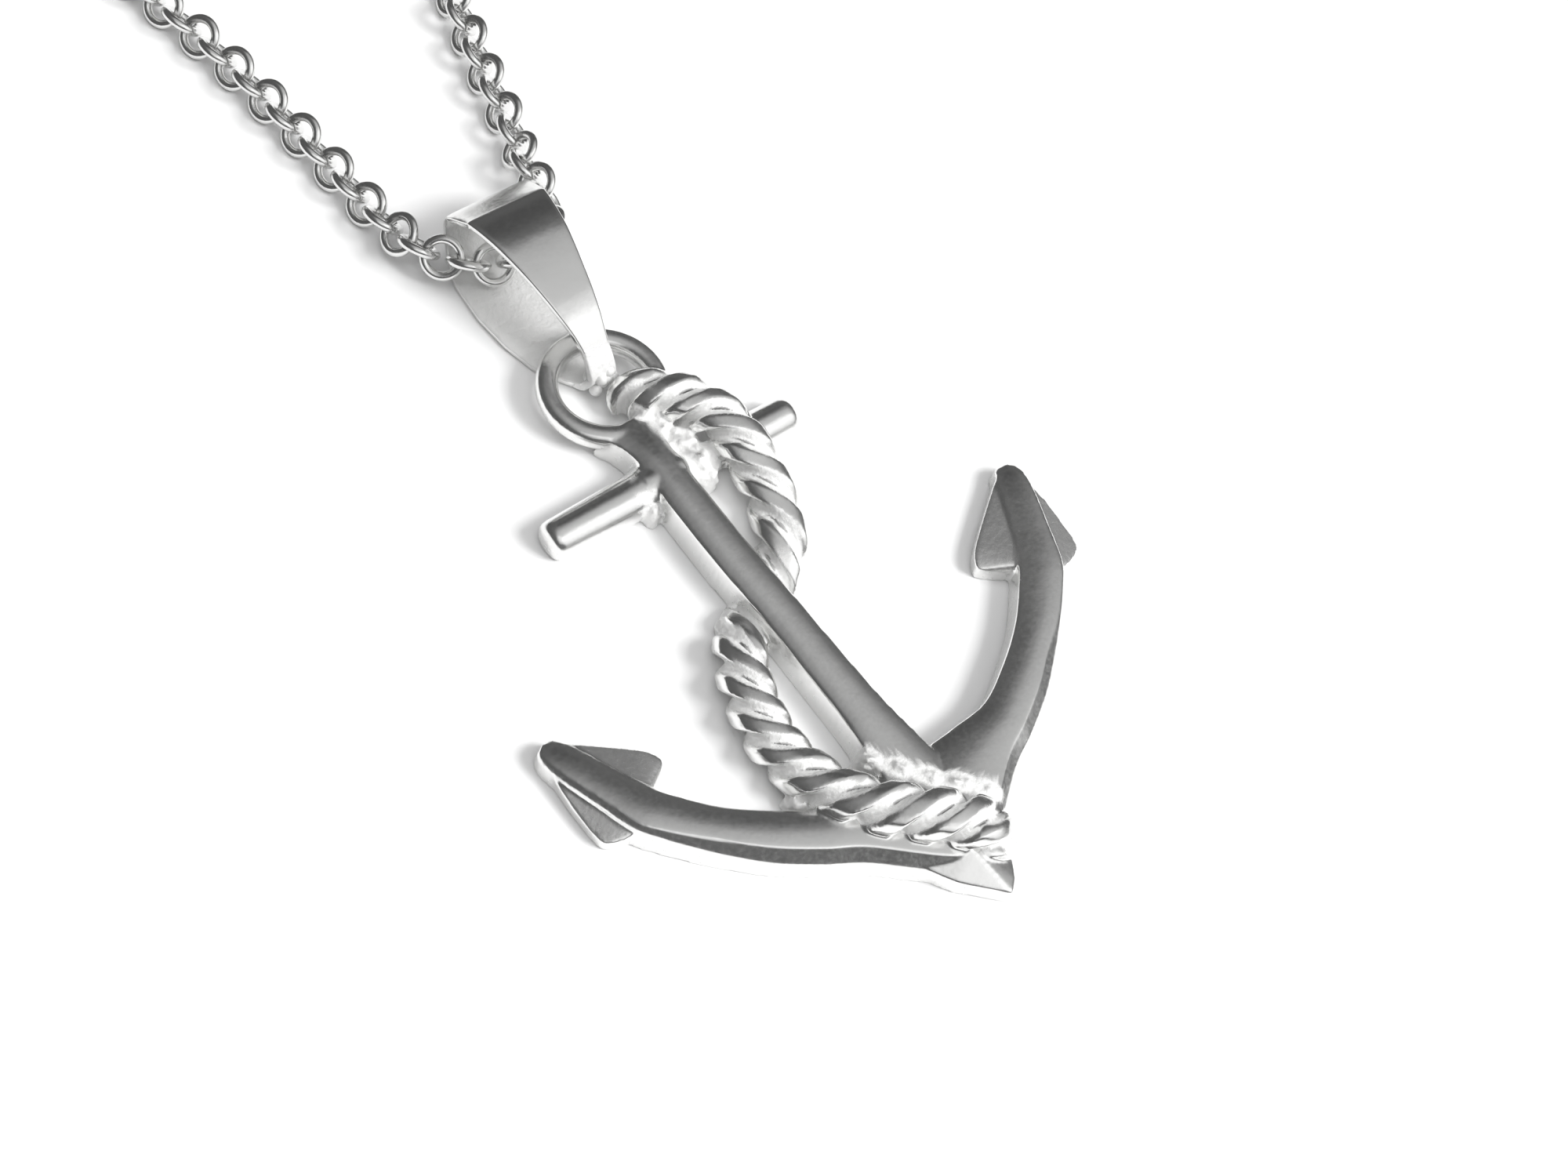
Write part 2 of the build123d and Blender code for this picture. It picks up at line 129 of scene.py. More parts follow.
def skin(rings, loop=False):
    """Closed rings of points (ring, around, xyz) joined by quads; the ends get a lid each, or
    with loop the last ring joins the first."""
    count, around = rings.shape[:2]
    ring = np.arange(count if loop else count - 1)[:, None]
    side = np.arange(around)[None, :]
    after = (side + 1) % around
    here, there = ring * around, (ring + 1) % count * around
    quads = np.stack([here + side, here + after, there + after, there + side], -1)
    faces = quads.reshape(-1, 4).tolist()
    if not loop:
        faces.append(list(range(around))[::-1])
        faces.append(list(range((count - 1) * around, count * around)))
    return rings.reshape(-1, 3), faces


def section_corners(*corners):
    """Corners of a section at every station (station, corner, 2), from pairs of how far across
    and how high each corner is."""
    return np.stack([np.stack(np.broadcast_arrays(*corner), -1) for corner in corners], axis=1)


def section_rings(corners, counts, arches):
    """Closed section outlines through corners (station, corner, 2): each side gets its count of
    points, and is lifted by its arch as a parabola that is highest in the middle."""
    sides = []
    for number, count in enumerate(counts):
        first = corners[:, number, None, :]
        second = corners[:, (number + 1) % len(counts), None, :]
        share = (np.arange(count) / count)[None, :, None]
        line = first + (second - first) * share
        line[..., 1] += 4 * arches[number] * (share * (1 - share))[..., 0]
        sides.append(line)
    return np.concatenate(sides, axis=1)


def join(parts):
    """Several (points, faces) as one."""
    points, faces, first = [], [], 0
    for some_points, some_faces in parts:
        points.append(some_points)
        faces += [[corner + first for corner in face] for face in some_faces]
        first += len(some_points)
    return np.concatenate(points), faces


def mesh_object(name, points, faces, attributes=None):
    """A smooth-shaded mesh object from points in millimetres, with one number per point for each
    named attribute."""
    mesh = bpy.data.meshes.new(name)
    mesh.from_pydata((points * METRES).tolist(), [], faces)
    mesh.update()
    for key, values in (attributes or {}).items():
        mesh.attributes.new(key, "FLOAT", "POINT").data.foreach_set("value", values.astype(np.float32))
    mesh.polygons.foreach_set("use_smooth", [True] * len(mesh.polygons))
    thing = bpy.data.objects.new(name, mesh)
    bpy.context.scene.collection.objects.link(thing)
    return thing


def outward(thing):
    """Turns all faces of a closed mesh outwards."""
    bpy.context.view_layer.objects.active = thing
    thing.select_set(True)
    bpy.ops.object.mode_set(mode="EDIT")
    bpy.ops.mesh.select_all(action="SELECT")
    bpy.ops.mesh.normals_make_consistent(inside=False)
    bpy.ops.object.mode_set(mode="OBJECT")
    thing.select_set(False)


def corners_of(thing):
    """The mesh's points in millimetres."""
    flat = np.empty(len(thing.data.vertices) * 3, np.float32)
    thing.data.vertices.foreach_get("co", flat)
    return flat.reshape(-1, 3).astype(float) / METRES


def apply_modifiers(thing):
    """The object keeps the mesh that its modifiers give."""
    graph = bpy.context.evaluated_depsgraph_get()
    made = bpy.data.meshes.new_from_object(thing.evaluated_get(graph))
    old = thing.data
    thing.modifiers.clear()
    thing.data = made
    bpy.data.meshes.remove(old)


# Anchor casting: its places, and how its two halves differ

HALF_SPAN = 11.8
CROWN_Y = -5.9
RIGHT_REACH = 0.05  # share by which the right arm reaches further
LEFT_DRAW = 0.04  # share by which the left arm's tip is drawn in
TIP_LIFT = 0.018  # share by which the right tip lies further up and the left one further down


def leaned(across, up, side):
    """Plan place on the right (1) or left (-1): the right arm is longer, the left one draws in."""
    outward = (across / HALF_SPAN) ** 2
    reach = RIGHT_REACH if side > 0 else -LEFT_DRAW * outward
    return side * across * (1 + reach), CROWN_Y + up * (1 + side * outward * TIP_LIFT)


# Anchor casting: shank

WALL_DRAFT = 0.12  # how far a wall's foot stands out, on the arms too
SHANK_STATIONS = 240
SHANK_SIDES = (12, 24, 12, 20)  # points on the left wall, the top, the right wall and the back

SHANK_ROWS = (  # height above the crown tip, middle, half width, wall height, crest height
    (2.52, 0.07, 1.36, 1.38, 1.60),
    (5.69, 0.03, 1.23, 1.46, 1.67),
    (8.58, -0.05, 0.95, 1.50, 1.69),
    (11.01, -0.13, 0.88, 1.50, 1.69),
    (13.90, -0.21, 0.84, 1.50, 1.69),
    (16.90, -0.38, 0.84, 1.50, 1.69),
    (19.91, -0.43, 0.82, 1.50, 1.69),
    (21.60, -0.40, 0.80, 1.48, 1.66),
    (22.50, -0.38, 0.84, 1.44, 1.60),
    (23.00, -0.35, 0.98, 1.40, 1.54),
    (23.45, -0.30, 1.20, 1.35, 1.49),
    (23.75, -0.26, 1.44, 1.32, 1.46),
    (24.02, -0.22, 1.58, 1.30, 1.44),
)


def shank_surface():
    """A flat-backed section, walls drafted and top arched, carried along Y."""
    up, middle, half, wall, crest = smooth_rows(SHANK_ROWS, SHANK_STATIONS).T
    left, right = middle - half, middle + half
    corners = section_corners((left - WALL_DRAFT, 0), (left, wall), (right, wall), (right + WALL_DRAFT, 0))
    outline = section_rings(corners, SHANK_SIDES, (0, (crest - wall)[:, None], 0, 0))
    y = np.broadcast_to((CROWN_Y + up)[:, None], outline.shape[:2])
    return skin(np.stack([outline[..., 0], y, outline[..., 1]], -1))


# Anchor casting: arms

ARM_STATIONS = 300
ARM_SIDES = (12, 8, 22, 12, 20)  # points on the outer wall, bevel, top, inner wall and back
RIDGE_HEIGHT = 1.50
INNER_HEIGHT = 1.31
TOP_ARCH = 0.05  # share of the width
LEFT_BEVEL_SLOPE = 1.15  # drop from the ridge for each millimetre of bevel
RIGHT_BEVEL_SLOPE = 0.7
RIGHT_BEVEL_LOSS = 0.6  # share of its width that the right bevel loses
RIGHT_BEVEL_NARROWING = (6.8, 9.0)  # across, where it loses it

ARM_ROWS = (  # across, height above the crown tip, direction, width, bevel width, height share
    (0.00, 3.72, 0.0, 4.76, 0.52, 1.00),
    (0.71, 3.86, 6.0, 4.62, 0.52, 1.00),
    (3.08, 4.95, 17.6, 2.86, 0.50, 1.00),
    (4.65, 5.52, 27.0, 2.20, 0.48, 1.00),
    (6.28, 6.52, 37.0, 2.04, 0.46, 1.00),
    (7.95, 7.89, 45.0, 1.83, 0.38, 0.98),
    (9.25, 9.24, 54.0, 1.84, 0.26, 0.95),
    (9.91, 10.10, 61.0, 1.86, 0.22, 0.92),
    (10.60, 11.55, 66.0, 1.60, 0.20, 0.84),
    (11.20, 12.95, 66.0, 1.46, 0.18, 0.75),
    (11.54, 13.80, 66.0, 1.26, 0.16, 0.67),
    (11.68, 14.22, 66.0, 1.00, 0.14, 0.60),
    (11.76, 14.42, 66.0, 0.60, 0.10, 0.54),
)


def arm_surface(side):
    """A flat-backed section with a bevel up to a ridge on its outer side and an arched top,
    carried along the arm and turned with its direction. On the right the bevel is flatter, and
    narrower beside the fluke."""
    across, up, turn, width, bevel, high = smooth_rows(ARM_ROWS, ARM_STATIONS).T
    x, y = leaned(across, up, side)
    slope = LEFT_BEVEL_SLOPE
    if side > 0:
        slope = RIGHT_BEVEL_SLOPE
        bevel = bevel * (1 - RIGHT_BEVEL_LOSS * smooth_step(across, *RIGHT_BEVEL_NARROWING))
    outer, inner, ridge = -width / 2, width / 2, RIDGE_HEIGHT * high
    corners = section_corners(
        (outer - WALL_DRAFT, 0), (outer, ridge - slope * bevel), (outer + bevel, ridge),
        (inner, INNER_HEIGHT * high), (inner + WALL_DRAFT, 0))
    outline = section_rings(corners, ARM_SIDES, (0, 0, (TOP_ARCH * width)[:, None], 0, 0))
    angle = np.radians(turn)[:, None]
    section_x = x[:, None] - side * np.sin(angle) * outline[..., 0]
    section_y = y[:, None] + np.cos(angle) * outline[..., 0]
    return skin(np.stack([section_x, section_y, outline[..., 1]], -1))


# Anchor casting: flukes and crown, as soft outlines that rise to a ridge line

FLUKE_SOFTNESS = 0.16  # share of a side that a corner is cut back by
CROWN_SOFTNESS = 0.06
CORNER_CUT = 0.25
TENT_SPLITS = 6  # points on each side of an outline
TENT_ROWS = 40
TENT_WALL_ROWS = 10
TENT_CROWDING = 1.5  # power above 1, which crowds the rows near the outline
FLUKE_RIDGE = ((9.60, 9.90, 1.34), (11.45, 13.75, 0.94))  # its two ends, in the terms of the corners
CROWN_RIDGE = ((-0.10, 1.85, 1.58), (0.00, 3.60, 1.62))

FLUKE_CORNERS = (  # across, height above the crown tip, height above the table
    (11.80, 14.50, 0.88),
    (11.15, 14.27, 0.83),
    (9.20, 12.87, 0.82),
    (8.14, 12.04, 0.80),
    (7.73, 11.35, 0.77),
    (8.85, 10.50, 0.62),
    (10.70, 9.38, 0.93),
    (12.10, 9.84, 0.61),
    (12.22, 11.84, 0.67),
    (12.10, 13.79, 0.80),
)

CROWN_CORNERS = (  # across, height above the crown tip, height above the table
    (0.00, 4.60, 1.55),
    (2.31, 2.92, 0.99),
    (1.62, 1.30, 0.84),
    (0.95, 0.20, 0.86),
    (0.42, -0.30, 0.88),
    (-1.22, 1.24, 0.98),
    (-2.31, 2.92, 0.99),
)


def softened(outline, share):
    """A closed outline with each corner replaced by two, share of a side away from it; twice more
    at CORNER_CUT of a side."""
    for cut in (share, CORNER_CUT, CORNER_CUT):
        ahead, behind = np.roll(outline, -1, 0), np.roll(outline, 1, 0)
        pair = np.stack([outline + (behind - outline) * cut, outline + (ahead - outline) * cut], 1)
        outline = pair.reshape(-1, 3)
    return outline


def tent_surface(outline, ridge):
    """Straight lines from every point of an outline to the nearest point of a ridge line, over
    upright walls. The rows lie closer together near the outline."""
    share = (np.arange(TENT_SPLITS) / TENT_SPLITS)[None, :, None]
    edge = (outline[:, None] + (np.roll(outline, -1, 0) - outline)[:, None] * share).reshape(-1, 3)
    first, along = ridge[0], ridge[1] - ridge[0]
    place = np.clip((edge - first)[:, :2] @ along[:2] / (along[:2] @ along[:2]), 0, 1)
    peak = first + place[:, None] * along
    floor = edge * (1, 1, 0)
    rise = (np.linspace(0, 1, TENT_ROWS) ** TENT_CROWDING)[:, None, None]
    top = edge + (peak - edge) * rise
    walls = floor + (edge - floor) * np.linspace(0, 1, TENT_WALL_ROWS)[:, None, None]
    return skin(np.concatenate([walls[:-1], top]))


def fluke_surface(side):
    """The arrowhead at an arm's end: a soft outline whose lines rise to the arm's middle."""
    rows = np.array(FLUKE_CORNERS)
    x, y = leaned(rows[:, 0], rows[:, 1], side)
    outline = softened(np.stack([x, y, rows[:, 2]], -1), FLUKE_SOFTNESS)
    ridge = np.array([(*leaned(across, up, side), high) for across, up, high in FLUKE_RIDGE])
    return tent_surface(outline, ridge)


def crown_surface():
    """The pointed crown: a tent that starts where the ridges of the two arms meet."""
    tip = (0, CROWN_Y, 0)
    outline = softened(np.array(CROWN_CORNERS) + tip, CROWN_SOFTNESS)
    return tent_surface(outline, np.array(CROWN_RIDGE) + tip)


# Anchor casting: ring and stock

RING_MIDDLE = (-0.16, 20.03, 0.985)
RING_RADIUS = 2.32
RING_HALF_WIDTH = 0.47
RING_HALF_HEIGHT = 0.475
RING_SQUARING = (0.72, 0.86)  # powers across and up
RING_STATIONS = 160
RING_SECTION = 40
STOCK_Y = 15.4
STOCK_Z = 0.56
STOCK_STATIONS = 90
STOCK_SECTION = 48
WAIST_SHARE = 0.3  # share of its radius that the stock loses beside the rope
WAIST_START = 0.3
WAIST_END = 2.7
WAIST_FADE = 0.5

STOCK_ROWS = (  # distance from the shank's middle, radius
    (0.00, 1.045),
    (1.05, 1.045),
    (1.45, 1.02),
    (1.80, 0.945),
    (3.70, 0.905),
    (5.30, 0.865),
    (5.72, 0.84),
    (5.93, 0.76),
    (6.06, 0.60),
    (6.12, 0.36),
    (6.13, 0.02),
)


def ring_surface():
    """A rounded square turned about the ring's upright axis."""
    around = circle(RING_SECTION)
    out = squared(np.cos(around), RING_SQUARING[0]) * RING_HALF_WIDTH
    up = squared(np.sin(around), RING_SQUARING[1]) * RING_HALF_HEIGHT
    turn = circle(RING_STATIONS)[:, None]
    reach = RING_RADIUS + out[None, :]
    x = RING_MIDDLE[0] + reach * np.cos(turn)
    y = RING_MIDDLE[1] + reach * np.sin(turn)
    z = np.broadcast_to(RING_MIDDLE[2] + up[None, :], x.shape)
    return skin(np.stack([x, y, z], -1), loop=True)


def stock_surface():
    """A radius that changes along X, turned about X. From WAIST_START to WAIST_END, where the
    rough metal beside the rope hides it, it is thinner."""
    half, radius = smooth_rows(STOCK_ROWS, STOCK_STATIONS).T
    along = np.concatenate([-half[::-1], half[1:]])
    radius = np.concatenate([radius[::-1], radius[1:]])
    waist = smooth_step(along, WAIST_START, WAIST_START + WAIST_FADE)
    waist = WAIST_SHARE * waist * smooth_step(WAIST_END - along, 0, WAIST_FADE)
    radius *= 1 - waist
    around = circle(STOCK_SECTION)
    y = STOCK_Y + radius[:, None] * np.cos(around)
    z = STOCK_Z + radius[:, None] * np.sin(around)
    return skin(np.stack([np.broadcast_to(along[:, None], y.shape), y, z], -1))


# Anchor casting: rope

ROPE_RADIUS = 1.10
ROPE_TOP = 0.60  # height above the path where the wear starts
ROPE_WEAR = 0.5  # share that is gone of what stood higher
ROPE_VALLEY = 0.50
VALLEY_EDGES = (0.36, 0.90)  # from a lobe's middle, 0, to the middle of the valley beside it, 1
STRANDS = 3
ROPE_CURVE_STEPS = 1200
ROPE_STATIONS = 420
ROPE_SECTION = 60
PHASE_BLUR = 12  # stations on either side that even out the strands' turning

ROPE_ROWS = (  # across, height above the crown tip, height of the rope's middle
    (0.60, 25.25, 0.35),
    (0.96, 24.82, 1.13),
    (1.75, 24.00, 1.52),
    (2.60, 22.85, 1.56),
    (3.00, 21.34, 1.52),
    (2.97, 19.71, 1.17),
    (2.73, 18.25, 0.90),
    (2.05, 16.62, 0.59),
    (1.00, 15.62, 0.08),
    (-0.12, 14.99, -0.12),
    (-1.30, 14.39, 0.12),
    (-2.36, 13.53, 0.74),
    (-3.13, 12.13, 0.94),
    (-3.59, 10.50, 0.98),
    (-3.68, 8.87, 1.02),
    (-3.28, 7.09, 1.27),
    (-2.40, 5.38, 1.68),
    (-1.20, 4.12, 2.01),
    (-0.15, 3.17, 2.03),
    (0.65, 2.49, 1.80),
    (1.10, 2.06, 1.07),
    (1.20, 1.92, 0.25),
)

ROPE_STRANDS = (  # along the rope, number of the strand that is on top
    (0.00, -0.38),
    (1.77, 0.84),
    (3.23, 1.85),
    (4.83, 2.86),
    (6.69, 3.86),
    (8.50, 4.84),
    (10.64, 5.86),
    (15.38, 8.76),
    (16.73, 9.65),
    (18.21, 10.62),
    (19.65, 11.60),
    (21.07, 12.59),
    (22.90, 13.67),
    (24.79, 14.67),
    (26.53, 15.65),
    (28.22, 16.65),
    (29.40, 17.62),
    (30.74, 18.62),
)


def frames_along(path):
    """Two directions across a path at each of its points. The first is the one before it without
    its part along the path, so that neither turns about the path."""
    tangent = np.gradient(path, axis=0)
    tangent /= np.linalg.norm(tangent, axis=1)[:, None]
    normal = np.empty_like(path)
    last = np.array((0.0, 0.0, 1.0))
    for number, along in enumerate(tangent):
        last = last - along * (last @ along)
        last /= np.linalg.norm(last)
        normal[number] = last
    return normal, np.cross(tangent, normal)


def rope_path():
    """Evenly spaced points on the rope's middle line, and how far along it each is."""
    line = smooth_rows(ROPE_ROWS, ROPE_CURVE_STEPS)
    even = np.linspace(0, length_along(line)[-1], ROPE_STATIONS)
    return points_at(line, even) + (0, CROWN_Y, 0), even


def rope_surface():
    """A lobe for each strand carried along the path and turned left-handed by ROPE_STRANDS. A lobe
    is round on top and falls into a broad valley between the lobes. Polishing has worn the top
    flatter: what stands higher than ROPE_TOP above the path is pressed down by ROPE_WEAR."""
    path, along = rope_path()
    normal, aside = frames_along(path)
    around, lobe_turn = circle(ROPE_SECTION), 2 * np.pi / STRANDS
    lobe = np.abs((around / lobe_turn + 0.5) % 1 - 0.5) * 2
    reach = ROPE_RADIUS - ROPE_VALLEY * smooth_step(lobe, *VALLEY_EDGES)
    strand = np.interp(along, *np.array(ROPE_STRANDS).T)
    strand = np.pad(strand, PHASE_BLUR, mode="reflect", reflect_type="odd")
    window = 2 * PHASE_BLUR + 1
    strand = np.convolve(strand, np.full(window, 1 / window), "valid")
    angle = around[None, :] - lobe_turn * strand[:, None]
    across = (reach * np.cos(angle))[..., None] * normal[:, None, :]
    across = across + (reach * np.sin(angle))[..., None] * aside[:, None, :]
    across[..., 2] -= np.maximum(across[..., 2] - ROPE_TOP, 0) * ROPE_WEAR
    return skin(path[:, None, :] + across)


# Anchor casting: rough lumps beside the rope

DOME_RISE = 1.56  # a little under a right angle, so that a dome's top ring isn't a point
DOME_SIDES = 28
DOME_RINGS = 16
DOME_FLATNESS = 4  # power above 2, which flattens a dome's top
GRAIN_SEED = 11
GRAIN_DENSITY = 48  # grains for each square millimetre of half length times half width
GRAIN_LEAST = 4
GRAIN_SPREAD = 0.9  # share of the ellipse that they are strewn over
GRAIN_RADII = (0.10, 0.19)
GRAIN_SINK = 0.3  # share of its radius that a grain is sunk by
GRAIN_SIDES = (12, 7)

LUMPS = (  # rough cast lumps and webs: x, y, half length, half width, height, direction
    (0.85, 17.30, 0.80, 0.60, 1.40, 60.0),
    (1.15, 16.45, 0.95, 0.85, 1.36, 80.0),
    (1.15, 15.45, 0.95, 0.80, 1.38, 90.0),
    (1.30, 14.70, 0.60, 0.50, 1.00, 30.0),
    (-2.05, 8.50, 0.90, 0.55, 0.85, 80.0),
    (-2.25, 7.50, 0.80, 0.55, 0.80, 90.0),
    (-2.10, 6.50, 0.80, 0.40, 0.60, 90.0),
    (-4.10, 1.20, 0.80, 0.45, 0.85, 130.0),
    (-3.40, 0.25, 0.80, 0.50, 1.15, 130.0),
    (-2.55, -0.60, 0.80, 0.45, 1.45, 140.0),
    (-1.20, 1.05, 0.60, 0.30, 1.70, 120.0),
    (-0.45, 0.10, 0.60, 0.26, 1.76, 130.0),
    (0.35, -0.80, 0.70, 0.28, 1.78, 130.0),
    (1.20, -1.60, 0.70, 0.30, 1.72, 135.0),
    (1.90, -2.40, 0.60, 0.32, 1.62, 130.0),
    (-0.60, -2.85, 0.70, 0.28, 1.72, 130.0),
    (0.70, -3.85, 0.55, 0.30, 1.55, 120.0),
    (1.10, -4.30, 0.50, 0.36, 1.30, 120.0),
    (-1.55, 16.05, 0.45, 0.30, 1.15, 90.0),
    (-1.75, 15.20, 0.50, 0.26, 1.35, 90.0),
    (-1.70, 14.40, 0.40, 0.30, 1.00, 90.0),
    (0.45, 18.05, 0.45, 0.30, 1.66, 150.0),
    (0.95, 17.75, 0.40, 0.30, 1.55, 120.0),
)


def ball(x, y, z, radius, turns=24, rises=14):
    """A ball from rings of latitude."""
    turn = circle(turns)[None, :]
    rise = np.linspace(-DOME_RISE, DOME_RISE, rises)[:, None]
    reach = radius * np.cos(rise)
    height = z + radius * np.sin(rise) + 0 * turn
    return skin(np.stack([x + reach * np.cos(turn), y + reach * np.sin(turn), height], -1))


def lump_surfaces():
    """Low flat-topped domes over ellipses: the rough metal that the casting has in its corners."""
    parts = []
    turn = circle(DOME_SIDES)[None, :]
    rise = np.linspace(0, DOME_RISE, DOME_RINGS)[:, None]
    reach = np.cos(rise)
    for x, y, long, wide, high, direction in LUMPS:
        east, north = turned(long * reach * np.cos(turn), wide * reach * np.sin(turn), direction)
        height = high * (1 - reach ** DOME_FLATNESS) + 0 * turn
        parts.append(skin(np.stack([x + east, y + north, height], -1)))
    return parts


def grain_surfaces():
    """Small balls strewn over every lump, sunk into its top: the beads of the rough cast metal."""
    draw = np.random.default_rng(GRAIN_SEED)
    parts = []
    for x, y, long, wide, high, direction in LUMPS:
        count = int(GRAIN_DENSITY * long * wide) + GRAIN_LEAST
        reach = np.sqrt(draw.uniform(0, GRAIN_SPREAD, count))
        turn = draw.uniform(0, 2 * np.pi, count)
        radius = draw.uniform(*GRAIN_RADII, count)
        east, north = turned(long * reach * np.cos(turn), wide * reach * np.sin(turn), direction)
        top = high * (1 - reach ** DOME_FLATNESS) - GRAIN_SINK * radius
        parts += [ball(*place, *GRAIN_SIDES) for place in zip(x + east, y + north, top, radius)]
    return parts


# Anchor casting: where the rough cast skin is left

ROUGH_DEPTHS = (0.14, 0.30)  # below the rope's round, where its valleys turn rough
STRAIGHT_UP = 0.97  # upward part of the normal from which a valley is polished
UP_FADE = 0.05
ROPE_NEAR = 1.02  # share of the rope's radius within which its skin is looked at
LUMP_RIM = 0.22  # how far the rough skin reaches past a lump
LUMP_FADE = 0.25  # share of that outline that it fades over
LUMP_CAP = 0.15  # how far above a lump's height it ends
WALL_ROUGHNESS = 0.15
WALL_TOP = 1.25
WALL_FADE = 0.3
UPRIGHT = 0.45  # upward part of the normal below which a face counts as a wall
BARB_ROUGHNESS = 0.12
BARB_BESIDE = (0.80, 0.95)  # from the arm's middle line, where a barb turns rough
BARB_ACROSS = (7.6, 8.2)  # across, where the barbs start
BARB_Y = (3.2, 3.8)  # along Y, where they start
BARB_FIRST_ROW = 5  # row of ARM_ROWS where the line beside the barbs starts
TOP_FACING = 0.4  # upward part of the normal above which a face counts as a top
SPINE_POINTS = 60
DISTANCE_BLOCKS = 40


def distance_to(points, path):
    """Distance of every point to the nearest of the path's points, in blocks to save memory."""
    path = path.astype(np.float32)
    blocks = np.array_split(points.astype(np.float32), DISTANCE_BLOCKS)
    return np.concatenate([np.sqrt(((block[:, None] - path) ** 2).sum(-1).min(-1)) for block in blocks])


def rope_skin(points, normals):
    """1 in the rope's deeper valleys, but not where they face straight up."""
    away = distance_to(points, rope_path()[0][::2])
    deep = smooth_step(ROPE_RADIUS - away, *ROUGH_DEPTHS)
    sloping = smooth_step(STRAIGHT_UP - normals[:, 2], 0, UP_FADE)
    return deep * sloping * (away < ROPE_RADIUS * ROPE_NEAR)


def lump_skin(points):
    """1 on every lump up to its height, with a soft rim past its ellipse."""
    rough = np.zeros(len(points))
    for x, y, long, wide, high, direction in LUMPS:
        along, across = turned(points[:, 0] - x, points[:, 1] - y, -direction)
        near = np.hypot(along / (long + LUMP_RIM), across / (wide + LUMP_RIM))
        low = smooth_step(high + LUMP_CAP - points[:, 2], 0, LUMP_CAP)
        rough = np.maximum(rough, smooth_step(1 - near, 0, LUMP_FADE) * low)
    return rough


def wall_skin(points, normals):
    """WALL_ROUGHNESS on what stands upright below WALL_TOP."""
    upright = smooth_step(UPRIGHT - normals[:, 2], 0, WALL_FADE)
    return WALL_ROUGHNESS * upright * smooth_step(WALL_TOP - points[:, 2], 0, WALL_FADE)


def barb_skin(points, normals):
    """BARB_ROUGHNESS on the tops of the flukes, beside the arms."""
    rough = np.zeros(len(points))
    for side in (1, -1):
        rows = np.array(ARM_ROWS)[BARB_FIRST_ROW:]
        spine = smooth_rows(np.stack(leaned(rows[:, 0], rows[:, 1], side), -1), SPINE_POINTS)
        beside = smooth_step(distance_to(points[:, :2], spine), *BARB_BESIDE)
        there = smooth_step(side * points[:, 0], *BARB_ACROSS) * smooth_step(points[:, 1], *BARB_Y)
        rough = np.maximum(rough, BARB_ROUGHNESS * there * beside * (normals[:, 2] > TOP_FACING))
    return rough


def cast_skin(points, normals):
    """How much of the rough cast skin is left at each point, from 0, polished, to 1: in the rope's
    valleys, on the lumps beside the rope and the stock, on the low parts of the walls, and on the
    barbs."""
    return np.maximum.reduce([rope_skin(points, normals), lump_skin(points),
                              wall_skin(points, normals), barb_skin(points, normals)])


# Anchor casting, grown together

VOXEL = 0.078
SOFTENING = 0.5
SOFTENING_ROUNDS = 3
KEPT_FACES = 0.6  # share that thinning leaves


def anchor_casting():
    """All surfaces of the casting grown together by a voxel remesh, smoothed and thinned, with
    its flat back kept flat."""
    parts = [shank_surface(), ring_surface(), stock_surface(), crown_surface(), rope_surface()]
    parts += lump_surfaces() + grain_surfaces()
    for side in (1, -1):
        parts += [arm_surface(side), fluke_surface(side)]
    points, faces = join(parts)
    points[:, 2] = np.maximum(points[:, 2], 0)
    casting = mesh_object("anchor_casting", points, faces)
    remesh = casting.modifiers.new("grow_together", "REMESH")
    remesh.mode = "VOXEL"
    remesh.voxel_size = VOXEL * METRES
    soft = casting.modifiers.new("soften", "SMOOTH")
    soft.factor = SOFTENING
    soft.iterations = SOFTENING_ROUNDS
    thin = casting.modifiers.new("thin_out", "DECIMATE")
    thin.ratio = KEPT_FACES
    apply_modifiers(casting)
    points = corners_of(casting)
    points[:, 2] = np.maximum(points[:, 2], 0)
    mesh = casting.data
    mesh.vertices.foreach_set("co", (points * METRES).astype(np.float32).ravel())
    mesh.polygons.foreach_set("use_smooth", [True] * len(mesh.polygons))
    mesh.update()
    normals = np.empty(len(points) * 3, np.float32)
    mesh.vertices.foreach_get("normal", normals)
    rough = cast_skin(points, normals.reshape(-1, 3)).astype(np.float32)
    mesh.attributes.new("cast_skin", "FLOAT", "POINT").data.foreach_set("value", rough)
    return casting


# Bail

BAIL_TIP_Y = 20.28
STRAP = 0.36  # thickness of the bail's strap
STRAP_SQUARING = (0.18, 0.4)  # powers across and through
STRAP_SECTION = 72
STRAP_INSIDE = 0.5  # share of half its thickness from which a face lies inside the bail
BAIL_STEPS = 8  # between two rows of BAIL_SIDE
BAIL_NARROWING = (1.0, 3.0)  # heights between which the back plate's width turns into the front's
ROUGH_TIP = 1.0  # how far from the tip the solder leaves the strap rough
ROUGH_FADE = 0.5

BAIL_SIDE = (  # along from the soldered tip and up from the table, of the strap's outside
    (0.00, 1.20),
    (0.22, 1.82),
    (0.79, 2.42),
    (1.68, 3.07),
    (2.62, 3.50),
    (3.54, 3.79),
    (4.44, 4.01),
    (5.32, 4.15),
    (6.10, 4.17),
    (6.90, 4.09),
    (7.40, 3.99),
    (7.58, 3.92),
    (7.74, 3.80),
    (8.62, 3.16),
    (8.84, 2.84),
    (9.00, 2.00),
    (8.86, 1.10),
    (8.48, 0.53),
    (7.95, 0.17),
    (7.20, 0.00),
    (5.50, 0.00),
    (3.50, 0.00),
    (1.44, 0.00),
    (0.80, 0.09),
    (0.28, 0.46),
)

